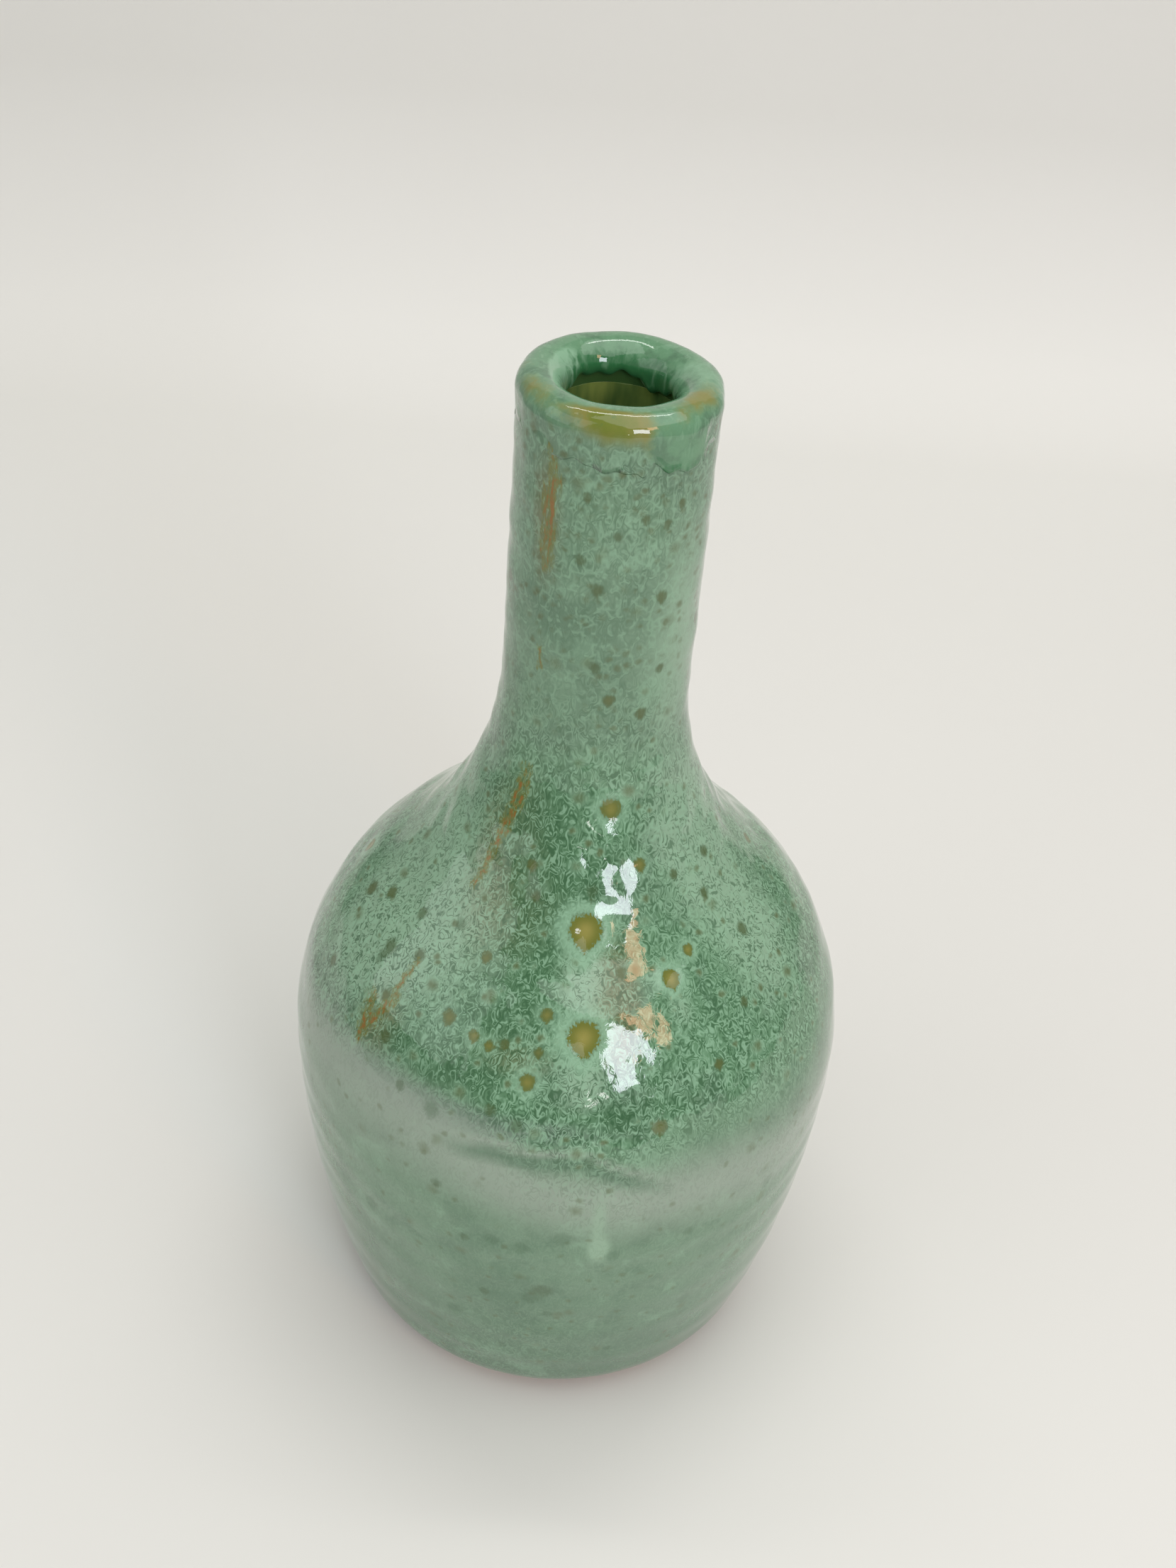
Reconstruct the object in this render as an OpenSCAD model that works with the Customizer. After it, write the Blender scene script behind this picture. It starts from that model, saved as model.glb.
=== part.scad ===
// Sake bottle (tokkuri): hand-thrown stoneware belly and luted neck under layered glazes.
// Every outline is a chain of tangent arcs, so a coat of glaze is the same chain moved along its normals.
// The bottle stands on its foot ring at z = 0 and its axis is +Z.

/* [Belly] */
// Full height from the foot ring to the crest of the mouth
height = 165; // [140:1:220]
// Diameter of the belly over the glaze, at its widest
belly_d = 85; // [72:0.5:105]
// Height of the widest point
belly_z = 55.5; // [48:0.5:70]
// Radius of the long curve down the side, below the widest point
side_r = 185; // [130:5:260]
// Clay thickness of the belly
belly_wall = 4; // [3:0.1:6]
// Height of the inside floor above the surface the bottle stands on
floor_z = 7.5; // [6:0.5:12]
// Radius where the inside floor turns up into the wall
floor_round = 10; // [6:0.5:14]

/* [Heel and foot] */
// Radius of the rounded heel over the glaze
heel_r = 6.5; // [5:0.5:12]
// Height of the lowest glaze-level point of the heel above the ground
foot_h = 2; // [1:0.25:3]
// How far the foot ring stands in from the heel's lowest point
foot_step = 0.5; // [0.2:0.1:3]
// Width of the foot ring
foot_w = 5; // [3:0.5:8]
// Depth of the trimmed hollow inside the foot ring
foot_recess = 1.2; // [0.5:0.1:2.5]
// Angle of the heel's underside that is left bare of glaze, from straight down
bare_angle = 24; // [10:1:45]

/* [Neck and mouth] */
// Diameter of the neck over the glaze
neck_d = 25.2; // [22:0.2:34]
// Diameter of the bore inside the neck, over the liner glaze
bore_d = 16; // [12:0.2:17]
// Radius of the curve from the shoulder into the neck, outside
root_r = 48; // [25:1:60]
// Radius of the same curve on the inside wall
root_inner_r = 50; // [25:1:62]
// How far above the end of the dome the neck is luted on
join_rise = 11.5; // [4:0.5:20]
// Radius of the outer rounding of the mouth
lip_round = 2.7; // [2.3:0.1:3.5]

/* [Glaze] */
// Thickness of the amber first coat
base_t = 0.3; // [0.2:0.05:0.5]
// Thickness of the green second coat
green_t = 0.6; // [0.3:0.05:0.8]
// Thickness of the extra coat on the mouth
lip_t = 0.4; // [0.2:0.05:0.6]
// Thickness of the liner glaze inside
liner_t = 0.3; // [0.2:0.05:0.6]
// How far the mouth coat reaches down the outside of the neck
lip_drop = 6; // [4:0.5:12]
// Height over which the lower edge of the mouth coat thins out
lip_feather = 1.2; // [0.5:0.1:3]
// Straight length of the outside coats in the throat, below the rounding of the mouth
throat_lap = 2.2; // [1:0.2:6]

/* [Hidden] */
$fn = 128;

// Steps along each arc of the outline
bare_steps = 3;
heel_steps = 8;
side_steps = 10;
dome_steps = 14;
root_steps = 14;
lip_steps = 8;
// How far a cutting block reaches past the solid that it trims
spare = 5;

coats_t = base_t + green_t;
belly_r = belly_d / 2;
neck_r = neck_d / 2;
bore_r = bore_d / 2;

// Outside: centres of the arcs, which all depths of glaze share
side_c = [belly_r - side_r, belly_z];
heel_c = arc_in_corner(side_c, side_r, heel_r, foot_h);
root_c = arc_at_neck(belly_r, root_r, neck_r);
heel_end = angle_to(side_c, heel_c);
dome_end = angle_to([0, belly_z], root_c);

// Mouth: the crest is where the outer and the inner rounding meet
clay_bore_r = bore_r + liner_t;
throat_r = clay_bore_r - coats_t - lip_t;
crest_r = neck_r + lip_t - lip_round;
lip_outer_c = [crest_r, height - lip_round];
lip_inner_c = [crest_r, height - (crest_r - throat_r)];
throat_end = lip_inner_c[1] - throat_lap;
lip_edge = height - lip_drop;

// Inside wall
inner_r = belly_r - coats_t - belly_wall;
inner_side_r = side_r - coats_t - belly_wall;
floor_c = arc_in_corner(side_c, inner_side_r, floor_round, floor_z);
inner_root_c = arc_at_neck(inner_r, root_inner_r, clay_bore_r);
floor_end = angle_to(side_c, floor_c);
inner_dome_end = angle_to([0, belly_z], inner_root_c);

// Foot ring and the level at which the neck is luted on
foot_r = heel_c[0] - foot_step;
join_z = belly_z + belly_r * sin(dome_end) + join_rise;

// Direction from one point to another
function angle_to(from, to) = atan2(to[1] - from[1], to[0] - from[0]);

// Points along an arc from angle a to angle b
function arc(c, r, a, b, steps) =
    [for (i = [0:steps]) let (q = a + (b - a) * i / steps) c + r * [cos(q), sin(q)]];

// Centre of a rounding of radius r that touches a big arc from inside and the level z = low from above
function arc_in_corner(big_c, big_r, r, low) =
    let (z = low + r)
    [big_c[0] + sqrt(pow(big_r - r, 2) - pow(belly_z - z, 2)), z];

// Centre of a hollow curve of radius r that touches a dome of radius dome_r and a neck of radius tube_r
function arc_at_neck(dome_r, r, tube_r) =
    [tube_r + r, belly_z + sqrt(pow(dome_r + r, 2) - pow(tube_r + r, 2))];

// Outside of the belly and neck at a depth t under the green coat, from the glaze line on the heel up
function flank(t) = concat(
    arc(heel_c, heel_r - t, bare_angle - 90, heel_end, heel_steps),
    arc(side_c, side_r - t, heel_end, 0, side_steps),
    arc([0, belly_z], belly_r - t, 0, dome_end, dome_steps),
    arc(root_c, root_r + t, 180 + dome_end, 180, root_steps));

// Rolled mouth at a depth t under the green coat, from the neck over the crest into the throat
function mouth(t) = concat(
    arc(lip_outer_c, lip_round - lip_t - t, 0, 90, lip_steps),
    arc(lip_inner_c, crest_r - throat_r - lip_t - t, 90, 180, lip_steps));

// End of the outside coats in the throat at a depth t under the green coat
function throat_point(t) = [throat_r + lip_t + t, throat_end];

// Outside coat between two depths, open at the heel and in the throat
function coat(t0, t1) = concat(
    flank(t0), mouth(t0), [throat_point(t0), throat_point(t1)],
    reverse(concat(flank(t1), mouth(t1))));

// Inside wall at a distance t in front of the clay, from the neck down to the middle of the floor
function inside(t) = concat(
    arc(inner_root_c, root_inner_r + t, 180, 180 + inner_dome_end, root_steps),
    arc([0, belly_z], inner_r - t, inner_dome_end, 0, dome_steps),
    arc(side_c, inner_side_r - t, 0, floor_end, side_steps),
    arc(floor_c, floor_round - t, floor_end, -90, heel_steps),
    [[0, floor_z + t]]);

function reverse(points) = [for (i = [len(points) - 1:-1:0]) points[i]];

// All of the clay, with the foot ring and the trimmed hollow inside it
module clay() {
    rotate_extrude()
        polygon(concat(
            [[foot_r, 0], [foot_r, foot_h + coats_t]],
            arc(heel_c, heel_r - coats_t, -90, bare_angle - 90, bare_steps),
            flank(coats_t), mouth(coats_t),
            inside(0),
            [[0, foot_recess], [foot_r - foot_w, foot_recess], [foot_r - foot_w, 0]]));
}

// Thrown belly with its floor and foot, up to the luted joint
module belly() {
    color("#b08a72")
        intersection() {
            clay();
            cylinder(h = join_z, r = belly_r + spare);
        }
}

// Neck with the clay core of the mouth, from the luted joint up
module neck() {
    color("#c09a82")
        difference() {
            clay();
            translate([0, 0, -spare]) cylinder(h = join_z + spare, r = belly_r + spare);
        }
}

// Glaze poured inside: it covers the floor, the belly and the bore up to the outside coats
module liner_glaze() {
    color("#4d5225")
        rotate_extrude()
            polygon(concat(
                [[clay_bore_r, throat_end], [bore_r, throat_end]],
                inside(liner_t), reverse(inside(0))));
}

// Amber first coat, straight on the clay
module base_glaze() {
    color("#93812f")
        rotate_extrude() polygon(coat(green_t, coats_t));
}

// Mottled green second coat
module green_glaze() {
    color("#6fa588")
        rotate_extrude() polygon(coat(0, green_t));
}

// Extra coat over the mouth: it thins out on the neck and ends in the throat with the others
module lip_glaze() {
    color("#86b58c")
        rotate_extrude()
            polygon(concat(
                [[neck_r, lip_edge - lip_feather], [neck_r + lip_t, lip_edge]],
                mouth(-lip_t), [throat_point(-lip_t), throat_point(0)], reverse(mouth(0))));
}

belly();
neck();
liner_glaze();
base_glaze();
green_glaze();
lip_glaze();
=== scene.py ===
"""Sake bottle: thrown stoneware under an amber coat, a mottled green coat and an extra coat on the mouth.

Every piece is a surface of two parameters: how far along the outline, and how far round the axis.
Turns are counted from the front of the bottle, which faces -Y, towards +X. All lengths are in metres.
"""

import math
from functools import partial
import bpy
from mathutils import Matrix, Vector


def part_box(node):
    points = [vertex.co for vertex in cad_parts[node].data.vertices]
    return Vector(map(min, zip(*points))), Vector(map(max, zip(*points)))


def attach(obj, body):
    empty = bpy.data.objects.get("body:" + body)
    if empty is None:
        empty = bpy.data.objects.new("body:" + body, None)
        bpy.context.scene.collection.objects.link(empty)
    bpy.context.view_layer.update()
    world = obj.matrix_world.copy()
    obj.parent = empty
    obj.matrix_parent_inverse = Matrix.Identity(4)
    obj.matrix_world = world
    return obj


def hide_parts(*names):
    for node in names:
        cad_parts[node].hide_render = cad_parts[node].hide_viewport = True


bl_info = {
    "name": "Sake bottle",
    "version": (1, 0, 0),
    "blender": (4, 5, 0),
    "location": "View3D > Sidebar > Bottle",
    "description": "Thrown clay, four coats of glaze and a studio sheet for a sake bottle",
    "category": "Object",
}

from types import SimpleNamespace

import bmesh
import bpy
import numpy as np
from mathutils import Matrix, Vector

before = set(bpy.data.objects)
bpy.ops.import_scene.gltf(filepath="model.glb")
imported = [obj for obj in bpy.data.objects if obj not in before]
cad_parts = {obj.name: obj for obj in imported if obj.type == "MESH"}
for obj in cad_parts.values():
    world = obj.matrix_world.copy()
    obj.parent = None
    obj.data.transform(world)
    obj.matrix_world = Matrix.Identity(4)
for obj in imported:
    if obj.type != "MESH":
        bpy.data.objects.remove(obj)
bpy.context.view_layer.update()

MM = 0.001
LIP_T = 0.4 * MM
# Distance between a corner and the row of points next to it that keeps the corner's shading crisp
SUPPORT = 0.04 * MM
# Offset, in radii, of a point that no burst bubble is near
FAR = 12.0
# The camera's place, and its turns in degrees, the outermost first
CAMERA_AT = (0, -0.191, 0.2549)
CAMERA_TURNS = ((-0.19, "Z"), (51.15, "X"), (4.34, "Z"))

# Burst bubbles that healed: turn in degrees, height and radius in millimetres, and how clear the pool
# of amber in it is, from 1 for a clear one to 0.1 for a soft brown mark
BUBBLES = (
    (4, 93.5, 2.15, 1), (4.4, 83, 2.15, 1), (29.5, 87.5, 1.2, 0.9), (14.4, 108.4, 1.4, 0.7),
    (38, 89.5, 0.8, 0.7), (27, 100.5, 0.9, 0.6), (62, 98, 0.8, 0.3), (6, 98, 0.8, 0.2), (42, 98, 0.7, 0.3),
    (53, 94, 0.7, 0.3), (15, 89, 0.7, 0.4), (60, 88, 0.9, 0.3), (48, 82, 0.7, 0.3), (36, 77, 0.8, 0.4),
    (20.7, 71.3, 1.1, 0.45), (-7.4, 77.6, 1.1, 0.7), (-5.2, 85, 0.9, 0.6), (-5.9, 81.1, 0.7, 0.5),
    (-14, 81.2, 0.7, 0.4), (-17.5, 80.6, 0.7, 0.6), (-21.5, 81.1, 0.8, 0.6), (-28.8, 82, 1.0, 0.5),
    (-25.9, 88.8, 0.8, 0.5), (-38.6, 90.5, 0.8, 0.2), (-44.5, 85.7, 0.9, 0.3), (-53.9, 84.2, 1.1, 0.25),
    (-52.8, 88.8, 0.8, 0.25), (-54.7, 82.3, 0.7, 0.2), (-67.9, 87.3, 0.9, 0.35), (-75.3, 85.1, 1.1, 0.35),
    (-67.7, 76.2, 0.9, 0.3), (-16, 96.5, 0.7, 0.3), (-20.5, 100, 0.8, 0.45), (-46.7, 79.9, 0.8, 0.4),
    (-42.1, 75.7, 0.9, 0.3), (-34.5, 71.2, 0.8, 0.2), (-26.3, 70.4, 1.2, 0.15), (-14.2, 73.1, 0.8, 0.25),
    (-8.4, 71.7, 0.9, 0.2), (6.4, 67.3, 1.0, 0.15), (9, 125, 0.8, 0.4), (30, 122.3, 0.8, 0.35),
    (40.4, 128.8, 0.6, 0.3), (-0.6, 130, 0.7, 0.25), (35.7, 140, 0.8, 0.35), (-3.4, 141.7, 0.8, 0.3),
    (-14.4, 145.6, 0.7, 0.25), (5.4, 149.4, 0.6, 0.25), (20.4, 151.6, 0.6, 0.3), (33.7, 150.5, 0.6, 0.3),
    (43, 152.8, 0.6, 0.35), (-12.9, 154.3, 0.6, 0.3), (-26.5, 143.8, 0.5, 0.2), (75, 133, 0.8, 0.3),
    (-70, 138, 0.8, 0.3), (175, 146, 0.8, 0.35), (-23, 58.5, 0.8, 0.2), (-17, 48.7, 0.7, 0.2),
    (-12.8, 35.7, 0.8, 0.2), (0.5, 32, 0.8, 0.15), (-25, 20.2, 0.7, 0.15), (-9.3, 18.8, 0.7, 0.15),
    (15, 19, 0.7, 0.15), (28, 49.7, 0.8, 0.15),
    (2.4, 52.3, 1.5, 0.12), (-5.7, 49.2, 1.3, 0.12), (-11.3, 49.9, 1.1, 0.1), (-1, 38.7, 1.6, 0.2),
    (-3.1, 36.3, 1.4, 0.15), (12.4, 48, 1.1, 0.1), (31, 29.6, 1.2, 0.1), (-40, 44, 1.3, 0.12),
    (48, 51, 1.2, 0.12), (-20, 27, 1.3, 0.12), (-95, 84, 1.1, 0.7), (-128, 92, 1.6, 1), (-150, 79, 0.9, 0.6),
    (170, 88, 1.3, 0.8), (148, 97, 0.8, 0.4), (121, 82, 1.5, 0.9), (96, 91, 0.9, 0.5), (-109, 104, 0.8, 0.3),
    (133, 106, 0.9, 0.4), (110, 45, 1.4, 0.12), (-100, 38, 1.3, 0.12), (-160, 50, 1.5, 0.15),
    (165, 33, 1.2, 0.1), (-88, 60, 1.1, 0.12), (140, 62, 1.2, 0.15),
)
# Iron that bled through as rust: from turn and height, to turn and height, half width in millimetres
RUST = (
    (-35, 160, -34, 151, 1.2), (-38, 154, -37, 143, 1.3), (-32.5, 157, -33.5, 144, 1.2),
    (-36, 131, -35.5, 128, 0.9), (-35.6, 112, -39.8, 103.5, 1.5), (-33.5, 110, -38, 102, 1.0),
    (-40, 104, -41, 95, 1.2), (-44, 80.5, -49, 73.5, 1.7), (-50, 79, -48.5, 73, 1.5), (-44, 85, -45, 81, 1.0),
    (118, 150, 116, 141, 1.2), (152, 112, 157, 101, 1.3), (-140, 84, -144, 78, 1.6),
)
# Broad washes of tone in the green coat: turn in degrees, height, half width and half height in millimetres,
# and strength. The pale ones are partly milky veils and halos below bubbles, partly painted light: sheen on
# the sides of the belly, the shoulder and the neck, and a highlight low on the front; the grey band near 70
# mm is a painted reflection of the dim room beyond the sheet.
WASHES = {
    # Partly milky veils and halos below bubbles, partly painted sheen on the sides of the belly, shoulder and
    # neck, and a painted highlight low on the front at turn 9
    "pale": ((-50, 87, 12, 7, 1), (-66, 96, 10, 10, 0.8), (-64, 80, 8, 7, 0.9), (4, 88.5, 3.4, 3.4, 1.1),
             (4.4, 78, 3.4, 3.4, 1.1), (30, 84.5, 2.2, 2.4, 0.7), (63, 88, 8, 11, 1), (62, 102, 8, 8, 1.1),
             (56, 132, 6, 22, 0.8), (9, 56, 1.5, 6, 0.8), (9.6, 49.5, 1.6, 2.6, 1.2),
             (150, 85, 16, 8, 0.7), (-120, 100, 12, 8, 0.6)),
    "dark": ((-28, 76, 11, 2.6, 1), (-15, 86, 9, 6, 1), (-10, 97, 7, 5, 1.1), (14, 101, 6, 3, 0.5),
             (14, 73, 9, 2.6, 0.8), (44, 79, 7, 5, 0.4), (-25, 105, 6, 5, 1), (100, 78, 14, 3, 0.9),
             (-170, 76, 16, 3, 0.8)),
    "brown": ((-34, 102, 5, 8, 1), (-25, 94, 7, 6, 1), (-11, 80, 7, 2.6, 0.6), (-46, 77, 4.5, 4.5, 0.9),
              (13, 86, 3.4, 6, 1.3), (-35, 150, 2.4, 9, 0.9), (118, 146, 2.4, 6, 0.7), (154, 106, 4, 7, 0.8)),
    # Painted reflection of the dim room beyond the sheet: a grey band near 70 mm all round
    "painted_dim_reflection": ((-30, 70.3, 16, 2.4, 1), (2, 71.5, 14, 1.8, 0.6), (-95, 70, 20, 3, 0.7), (160, 70, 24, 3, 0.7)),
}


def linear(code):
    """sRGB hex to linear red, green, blue: the sRGB curve undone for each pair of digits."""
    parts = np.array([int(code[i:i + 2], 16) for i in (1, 3, 5)]) / 255
    return tuple(np.where(parts <= 0.04045, parts / 12.92, ((parts + 0.055) / 1.055) ** 2.4))


def colour(label, about, code):
    """A colour a user can change, given as sRGB hex."""
    return bpy.props.FloatVectorProperty(
        name=label, description=about, subtype="COLOR", size=3, min=0, max=1, default=linear(code))


def number(label, about, value, **more):
    """A number a user can change."""
    return bpy.props.FloatProperty(name=label, description=about, default=value, **more)


def length(label, about, value):
    """A size a user can change, given in metres."""
    return number(label, about, value, unit="LENGTH", precision=5, min=0)


class BottleShape(bpy.types.PropertyGroup):
    """Sizes of the outline, the clay and the coats of glaze."""

    height: length("Height", "Foot ring to crest of the mouth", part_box("lip_glaze")[1].z)
    belly_radius: length("Belly radius", "Widest radius over the glaze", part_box("green_glaze")[1].x)
    belly_level: length("Belly level", "Height of the widest point", 55.5 * MM)
    side_radius: length("Side curve", "Radius of the long curve below the widest point", 185 * MM)
    heel_radius: length("Heel", "Radius of the rounded heel", 6.5 * MM)
    foot_height: length("Foot height", "Height of the heel's lowest point", 2 * MM)
    foot_step: length("Foot step", "How far the foot ring stands in from the heel", 0.5 * MM)
    foot_width: length("Foot width", "Width of the foot ring", 5 * MM)
    foot_recess: length("Foot hollow", "Depth of the trimmed hollow", 1.2 * MM)
    foot_edge: length("Foot edge", "Rounding of the foot ring's edges", 0.5 * MM)
    neck_radius: length("Neck radius", "Radius of the neck over the green coat",
                        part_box("lip_glaze")[1].x - LIP_T)
    root_radius: length("Neck root", "Radius of the curve from shoulder to neck", 48 * MM)
    lip_round: length("Mouth rounding", "Radius of the outer rounding of the mouth", 2.7 * MM)
    throat_lap: length("Throat lap", "Straight length of the coats in the throat", 2.2 * MM)
    bore_radius: length("Bore radius", "Radius of the bore over the liner glaze", 8 * MM)
    wall: length("Wall", "Clay thickness of the belly", 4 * MM)
    floor_level: length("Floor level", "Height of the inside floor", 7.5 * MM)
    floor_round: length("Floor rounding", "Radius where the inside floor turns up", 10 * MM)
    inner_root: length("Inner neck root", "Radius of the inside curve into the neck", 50 * MM)
    joint_level: length("Joint", "Height at which the neck is luted on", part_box("neck")[0].z)
    base_coat: length("Amber coat", "Thickness of the first coat", 0.3 * MM)
    green_coat: length("Green coat", "Thickness of the second coat", 0.6 * MM)
    lip_coat: length("Mouth coat", "Thickness of the extra coat on the mouth", LIP_T)
    liner_coat: length("Liner", "Thickness of the glaze inside", 0.3 * MM)
    bare_angle: number("Bare heel", "Angle of the heel's underside left without glaze",
                       math.radians(24), subtype="ANGLE")


class HandMarks(bpy.types.PropertyGroup):
    """What the thrower's hands and the fire left on the shape."""

    lean: number("Lean", "Lean of the neck towards +X", math.radians(0.54), subtype="ANGLE")
    lean_from: length("Lean starts", "Height at which the lean starts", 72 * MM)
    oval: length("Out of round", "How far the walls are out of round", 0.16 * MM)
    ring_pitch: length("Throwing rings", "Spacing of the throwing rings", 7.5 * MM)
    ring_depth: length("Ring depth", "Height of the throwing rings", 0.05 * MM)
    relief: length("Relief", "Height of the slow waves in the glaze", 0.05 * MM)
    bubble_depth: length("Bubble depth", "Depth of the largest burst bubble", 0.16 * MM)
    run_length: length("Glaze run", "Length of the run at the front of the mouth", 4.6 * MM)
    trim_pitch: length("Trimming rings", "Spacing of the tool marks under the foot", 1.4 * MM)


class GlazeLook(bpy.types.PropertyGroup):
    """Colours of the clay and the glazes, and the real sizes of their patterns."""

    green: colour("Green", "Body of the green coat where it is thick", "#5c8763")
    grey_green: colour("Grey green", "Green coat where it is thin", "#6c8c71")
    mint: colour("Mint", "Pale crystals and halos", "#8cb595")
    deep_green: colour("Deep green", "Dark glass between the crystals", "#2b5733")
    olive: colour("Olive", "Amber coat where it shows through", "#697028")
    ochre: colour("Ochre", "Amber coat in the middle of a burst bubble", "#968f48")
    # Painted reflection: a pale band over the widest part where the bright floor is reflected, and a pale
    # line along the slanted lap
    painted_reflection_grey: colour("Thin grey", "Green coat where it is thinnest, over the widest part", "#9aa698")
    # Partly real milky patches, partly painted sheen on the sides and a painted highlight low on the front
    veil_and_sheen: colour("Veil", "Milky pale patches on the shoulder", "#93b397")
    glass: colour("Glass", "Broad dark green patches low on the shoulder", "#48724e")
    brown: colour("Brown", "Iron haze in the green coat", "#6f7350")
    # Painted reflection of the dim room beyond the sheet's front edge, as a grey band near 70 mm
    painted_dim_reflection: colour("Dusk", "Grey band above the widest part", "#6d8272")
    # Also laid below the slanted lap low on the front as painted shade
    shade: colour("Soft green", "Slow darker clouds in the green coat", "#4f7257")
    pit: colour("Pit", "Small pits in the green coat", "#505c2e")
    rust: colour("Rust", "Iron bled through the glaze", "#8c5a1d")
    lip_mint: colour("Mouth green", "Thick clear green on the mouth", "#64916d")
    lip_amber: colour("Mouth amber", "Amber pools on the mouth", "#857b2e")
    lip_olive: colour("Mouth olive", "Green amber where the mouth's pool is thick", "#64761f")
    emerald: colour("Emerald", "Deep green glass that hangs in the throat", "#2f6d40")
    liner: colour("Liner", "Glaze inside", "#8ea255")
    # Also laid on the amber coat high in the throat as painted shade
    liner_dark: colour("Liner, dark", "Glaze inside where it is thick", "#44693a")
    clay: colour("Clay", "Fired stoneware", "#c49a86")
    clay_dark: colour("Clay, toasted", "Stoneware where the fire caught it", "#a3755e")
    curl: length("Crystals", "Spacing of the curly crystals", 0.55 * MM)
    net: length("Net", "Spacing of the cells on the neck", 1.7 * MM)
    pits: length("Pits", "Spacing of the small pits", 3.2 * MM)
    boils: length("Boils", "Spacing of the soft brown boil marks", 6.5 * MM)
    drift: length("Drift", "Width of the slow changes of tone", 16 * MM)
    swell: length("Swell", "Spacing of the soft bumps that break up the reflections", 2.4 * MM)
    swell_height: length("Swell height", "Height of the soft bumps", 0.085 * MM)
    grit: length("Grit", "Spacing of the grains in the clay", 0.6 * MM)


class StageLook(bpy.types.PropertyGroup):
    """Studio sheet, lights and lens."""

    sheet: colour("Sheet", "Pale studio sheet", "#e2e2dd")
    front: number("Front edge", "Where the sheet starts", -0.46, unit="LENGTH")
    bend: length("Bend starts", "Where the sheet turns up", 0.3)
    bend_radius: length("Bend", "Radius of the bend in the sheet", 0.08)
    half_width: length("Half width", "Half the width of the sheet", 0.36)
    sheet_height: length("Sheet height", "Height of the wall part of the sheet", 0.55)
    lens: number("Lens", "Focal length in millimetres", 39.3, min=10)
    room: number("Room", "Brightness of the room", 0.34, min=0)
    ceiling: number("Ceiling light", "Power of the soft light above", 4.1, min=0, unit="POWER")
    lamp: number("Lamp", "Power of the long lamp above", 4.0, min=0, unit="POWER")
    card: number("Side card", "Power of the soft light on the left", 1.7, min=0, unit="POWER")
    window: number("Window", "Power of the window light", 2.9, min=0, unit="POWER")


# ---------------------------------------------------------------- outline


def arc(centre, radius, start, end, side=1, steps=160):
    """Rows of radius, height and normal: the centre plus the radius times the cosine and sine of an even
    sweep of angles in radians; side is 1 where the normal points away from the centre, and -1 towards it."""
    sweep = np.linspace(start, end, steps)
    spoke = np.stack([np.cos(sweep), np.sin(sweep)], axis=1)
    return np.hstack([np.array(centre) + radius * spoke, side * spoke])


def straight(start, end, normal, steps=40):
    """Rows of radius, height and normal at even steps along a line."""
    t = np.linspace(0, 1, steps)[:, None]
    return np.hstack([(1 - t) * np.array(start) + t * np.array(end), np.tile(normal, (steps, 1))])


def heading(a, b):
    """Direction from one point to another, in radians."""
    return math.atan2(b[1] - a[1], b[0] - a[0])


def corner_centre(big, big_radius, small_radius, low):
    """Centre of a rounding that touches a big circle from inside and the level z = low from above."""
    z = low + small_radius
    return (big[0] + math.sqrt((big_radius - small_radius) ** 2 - (big[1] - z) ** 2), z)


def neck_centre(dome_z, dome_radius, hollow_radius, tube_radius):
    """Centre of a hollow curve that touches a dome from outside and a tube from outside."""
    x = tube_radius + hollow_radius
    return (x, dome_z + math.sqrt((dome_radius + hollow_radius) ** 2 - x ** 2))


def walk(rows):
    """An outline as rows with the distance walked along it, so that it can be read at any distance."""
    rows = np.vstack(rows)
    step = np.hypot(*np.diff(rows[:, :2], axis=0).T)
    keep = np.concatenate([[True], step > 1e-9])
    return SimpleNamespace(rows=rows[keep], along=np.concatenate([[0], np.cumsum(step[step > 1e-9])]))


def read(path, along):
    """Radius, height and normal at the distances `along`, by linear interpolation between close rows."""
    return [np.interp(along, path.along, path.rows[:, k]) for k in range(4)]


def climb(path, level):
    """Distance along an outside outline at which it reaches a level, or several, on its way to the crest."""
    rising = path.along < path.crest
    return np.interp(level, path.rows[rising, 1], path.along[rising])


def outside(shape):
    """Outline of the green coat: heel, side, dome, hollow root, neck, both roundings of the mouth, throat.
    Each arc starts where the last one ends and shares its tangent there."""
    side = (shape.belly_radius - shape.side_radius, shape.belly_level)
    dome = (0, shape.belly_level)
    heel = corner_centre(side, shape.side_radius, shape.heel_radius, shape.foot_height)
    root = neck_centre(shape.belly_level, shape.belly_radius, shape.root_radius, shape.neck_radius)
    coats = shape.base_coat + shape.green_coat
    throat = shape.bore_radius + shape.liner_coat - coats
    crest = shape.neck_radius + shape.lip_coat - shape.lip_round
    outer = shape.lip_round - shape.lip_coat
    inner = crest - throat
    outer_z, inner_z = shape.height - shape.lip_round, shape.height - inner - shape.lip_coat
    turn = heading(side, heel)
    rise = heading(dome, root)
    path = walk([
        arc(heel, shape.heel_radius, -math.pi / 2, turn),
        arc(side, shape.side_radius, turn, 0),
        arc(dome, shape.belly_radius, 0, rise),
        arc(root, shape.root_radius, math.pi + rise, math.pi, side=-1),
        straight((shape.neck_radius, root[1]), (shape.neck_radius, outer_z), (1, 0)),
        arc((crest, outer_z), outer, 0, math.pi / 2, steps=60),
        arc((crest, inner_z), inner, math.pi / 2, math.pi, steps=60),
        straight((throat, inner_z), (throat, inner_z - shape.throat_lap * 2), (-1, 0)),
    ])
    path.bare = shape.heel_radius * shape.bare_angle
    path.crest = path.along[np.argmax(path.rows[:, 1])]
    path.throat = path.along[-1] - shape.throat_lap
    path.heel = heel
    return path


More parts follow.
